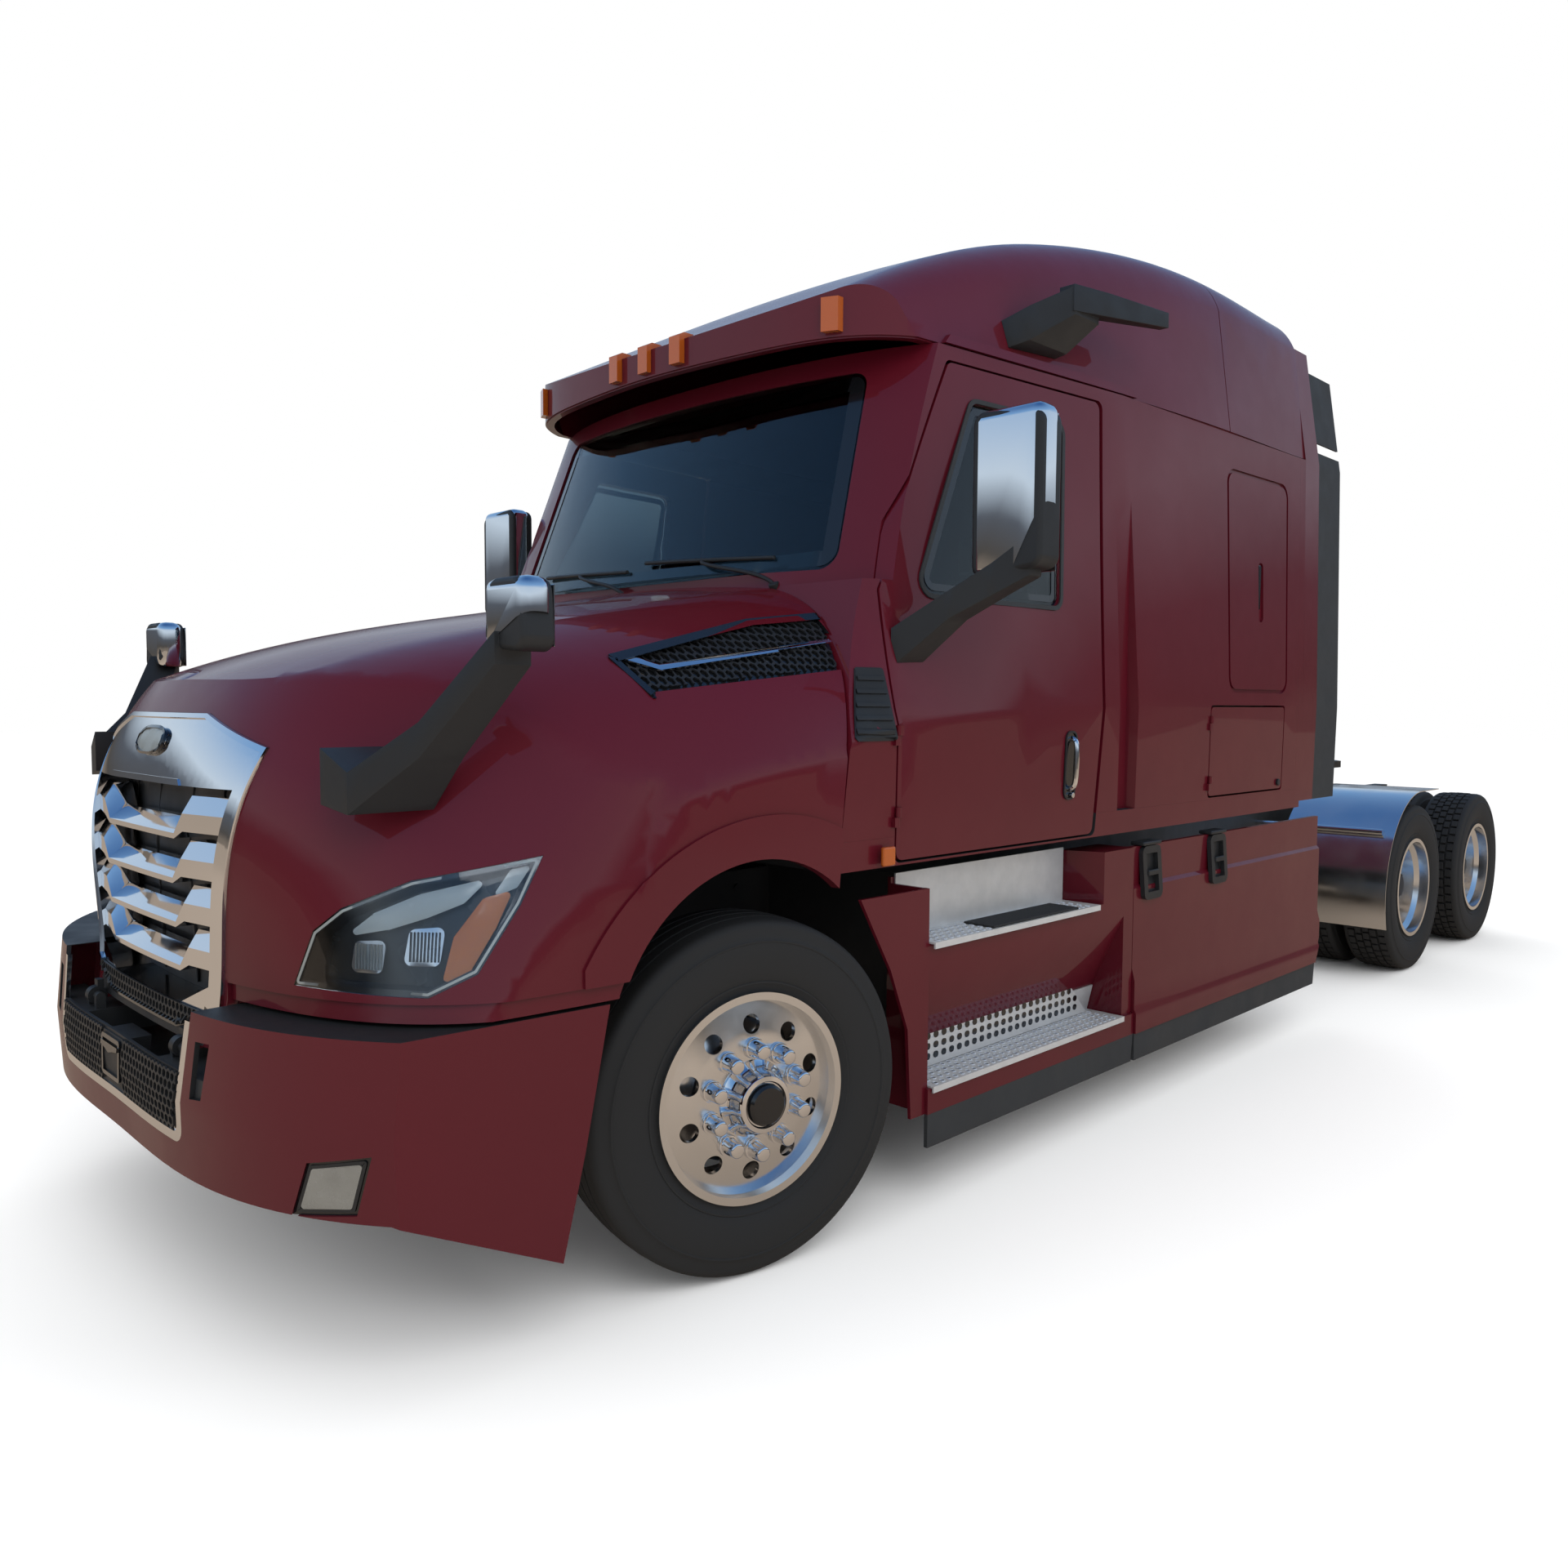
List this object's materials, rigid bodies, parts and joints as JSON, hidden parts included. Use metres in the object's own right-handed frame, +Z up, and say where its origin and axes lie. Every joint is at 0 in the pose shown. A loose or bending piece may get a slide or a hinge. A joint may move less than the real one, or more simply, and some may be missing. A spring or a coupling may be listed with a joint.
{
  "type": "semi truck tractor unit",
  "caption": "Long-nose sleeper tractor unit with tilting hood, steered front wheels, twin-tyred drive axles and a tilting coupling plate.",
  "frame": {"origin": "on the ground under the middle of the bounding box", "axes": "+Z up, the nose points to -Y, the driver sits on the +X side, and +Y is the longest extent"},
  "size_m": [3.104, 8.7804, 3.6013],
  "materials": {
    "body_paint": "gloss",
    "chrome_trim": "polished",
    "black_plastic": "satin",
    "tyre_rubber": "matte",
    "polished_alloy": "polished",
    "door_glass": "gloss",
    "windscreen_glass": "gloss",
    "clear_lens": "gloss",
    "lamp_housing": "gloss",
    "mirror_black": "satin",
    "dark_liner": "matte",
    "seal_rubber": "matte",
    "polished_steel": "polished",
    "chassis_paint": "satin",
    "spring_steel": "satin",
    "cast_steel": "matte",
    "engine_paint": "satin",
    "radiator_metal": "matte",
    "tank_alloy": "brushed",
    "step_metal": "brushed",
    "tread_plate": "brushed",
    "coupling_steel": "satin",
    "dash_plastic": "matte",
    "wheel_leather": "satin",
    "seat_fabric": "matte",
    "bunk_fabric": "matte",
    "amber_lens": "gloss"
  },
  "bodies": {
    "chassis": {"axles": "chassis_paint", "bumper": "body_paint", "bumper_grille": "black_plastic", "bunk": "bunk_fabric", "cab_floor": "dark_liner", "cab_front": "body_paint", "cab_rear_wall": "body_paint", "camera_arms": "mirror_black", "chassis_frame": "chassis_paint", "coupling_base": "coupling_steel", "dashboard": "dash_plastic", "deck_plate": "tread_plate", "engine": "engine_paint", "frame_brackets": "chassis_paint", "fuel_tanks": "tank_alloy", "leaf_springs": "spring_steel", "quarter_fenders": "polished_steel", "radiator": "radiator_metal", "roof_cap": "body_paint", "rubber_edges": "seal_rubber", "seats": "seat_fabric", "side_extenders": "body_paint", "side_skirts": "body_paint", "sleeper_sides": "body_paint", "small_lamps": "amber_lens", "steering_wheel": "wheel_leather", "step_fairings": "body_paint", "steps": "step_metal", "windscreen": "windscreen_glass"},
    "hood": {"grille_back": "black_plastic", "grille_bars": "chrome_trim", "grille_surround": "chrome_trim", "headlamp_lenses": "clear_lens", "headlamps": "lamp_housing", "hood_mirrors": "mirror_black", "hood_shell": "body_paint"},
    "door_left_body": {"door_left": "body_paint", "door_glass_left": "door_glass", "door_mirror_left": "mirror_black"},
    "door_right_body": {"door_right": "body_paint", "door_glass_right": "door_glass", "door_mirror_right": "mirror_black"},
    "luggage_left_body": {"luggage_door_left": "body_paint"},
    "luggage_right_body": {"luggage_door_right": "body_paint"},
    "knuckle_left_body": {"knuckle_left": "cast_steel"},
    "knuckle_right_body": {"knuckle_right": "cast_steel"},
    "tie_rod_body": {"tie_rod": "cast_steel"},
    "front_wheel_left": {"tyre_front_left": "tyre_rubber", "rim_front_left": "polished_alloy"},
    "front_wheel_right": {"tyre_front_right": "tyre_rubber", "rim_front_right": "polished_alloy"},
    "drive_wheels_1_left": {"tyres_drive_1_left": "tyre_rubber", "rims_drive_1_left": "polished_alloy"},
    "drive_wheels_1_right": {"tyres_drive_1_right": "tyre_rubber", "rims_drive_1_right": "polished_alloy"},
    "drive_wheels_2_left": {"tyres_drive_2_left": "tyre_rubber", "rims_drive_2_left": "polished_alloy"},
    "drive_wheels_2_right": {"tyres_drive_2_right": "tyre_rubber", "rims_drive_2_right": "polished_alloy"},
    "coupling_plate_body": {"coupling_plate": "coupling_steel"}
  },
  "joints": [
    {"name": "hood_tilt", "type": "hinge", "parent": "chassis", "child": "hood", "pos_m": [0, -4.328, 0.738], "axis": [1, 0, 0], "range_deg": [0, 72]},
    {"name": "door_left_hinge", "type": "hinge", "parent": "chassis", "child": "door_left_body", "pos_m": [1.216, -2.544, 1.8], "axis": [0, 0, 1], "range_deg": [-70, 0]},
    {"name": "door_right_hinge", "type": "hinge", "parent": "chassis", "child": "door_right_body", "pos_m": [-1.216, -2.544, 1.8], "axis": [0, 0, 1], "range_deg": [0, 70]},
    {"name": "luggage_left_hinge", "type": "hinge", "parent": "chassis", "child": "luggage_left_body", "pos_m": [1.23, -0.444, 1.4], "axis": [0, 0, 1], "range_deg": [-90, 0]},
    {"name": "luggage_right_hinge", "type": "hinge", "parent": "chassis", "child": "luggage_right_body", "pos_m": [-1.23, -0.444, 1.4], "axis": [0, 0, 1], "range_deg": [0, 90]},
    {"name": "steer_left", "type": "hinge", "parent": "chassis", "child": "knuckle_left_body", "pos_m": [0.865, -3.04, 0.506], "axis": [0, 0, 1], "range_deg": [-33.5, 56.5]},
    {"name": "steer_right", "type": "hinge", "parent": "chassis", "child": "knuckle_right_body", "pos_m": [-0.865, -3.04, 0.506], "axis": [0, 0, 1], "range_deg": [-33.5, 56.5]},
    {"name": "tie_rod_ball", "type": "hinge", "parent": "knuckle_left_body", "child": "tie_rod_body", "pos_m": [0.90188, -2.85871, 0.3885], "axis": [0, 0, 1], "range_deg": [-56.5, 33.5]},
    {"name": "spin_front_left", "type": "hinge", "parent": "knuckle_left_body", "child": "front_wheel_left", "pos_m": [1.04629, -3.07688, 0.506], "axis": [0.9799, -0.1994, 0], "continuous": true},
    {"name": "spin_front_right", "type": "hinge", "parent": "knuckle_right_body", "child": "front_wheel_right", "pos_m": [-1.04629, -3.00312, 0.506], "axis": [0.9799, -0.1994, 0], "continuous": true},
    {"name": "spin_drive_1_left", "type": "hinge", "parent": "chassis", "child": "drive_wheels_1_left", "pos_m": [0.917, 2.44, 0.506], "axis": [1, 0, 0], "continuous": true},
    {"name": "spin_drive_1_right", "type": "hinge", "parent": "chassis", "child": "drive_wheels_1_right", "pos_m": [-0.917, 2.44, 0.506], "axis": [1, 0, 0], "continuous": true},
    {"name": "spin_drive_2_left", "type": "hinge", "parent": "chassis", "child": "drive_wheels_2_left", "pos_m": [0.917, 3.76, 0.506], "axis": [1, 0, 0], "continuous": true},
    {"name": "spin_drive_2_right", "type": "hinge", "parent": "chassis", "child": "drive_wheels_2_right", "pos_m": [-0.917, 3.76, 0.506], "axis": [1, 0, 0], "continuous": true},
    {"name": "coupling_tilt", "type": "hinge", "parent": "chassis", "child": "coupling_plate_body", "pos_m": [0, 3.1, 1.12], "axis": [1, 0, 0], "range_deg": [-12, 12]}
  ],
  "couplings": [
    {"joint": "steer_right", "follows": "steer_left", "ratio": 1},
    {"joint": "tie_rod_ball", "follows": "steer_left", "ratio": -1}
  ]
}
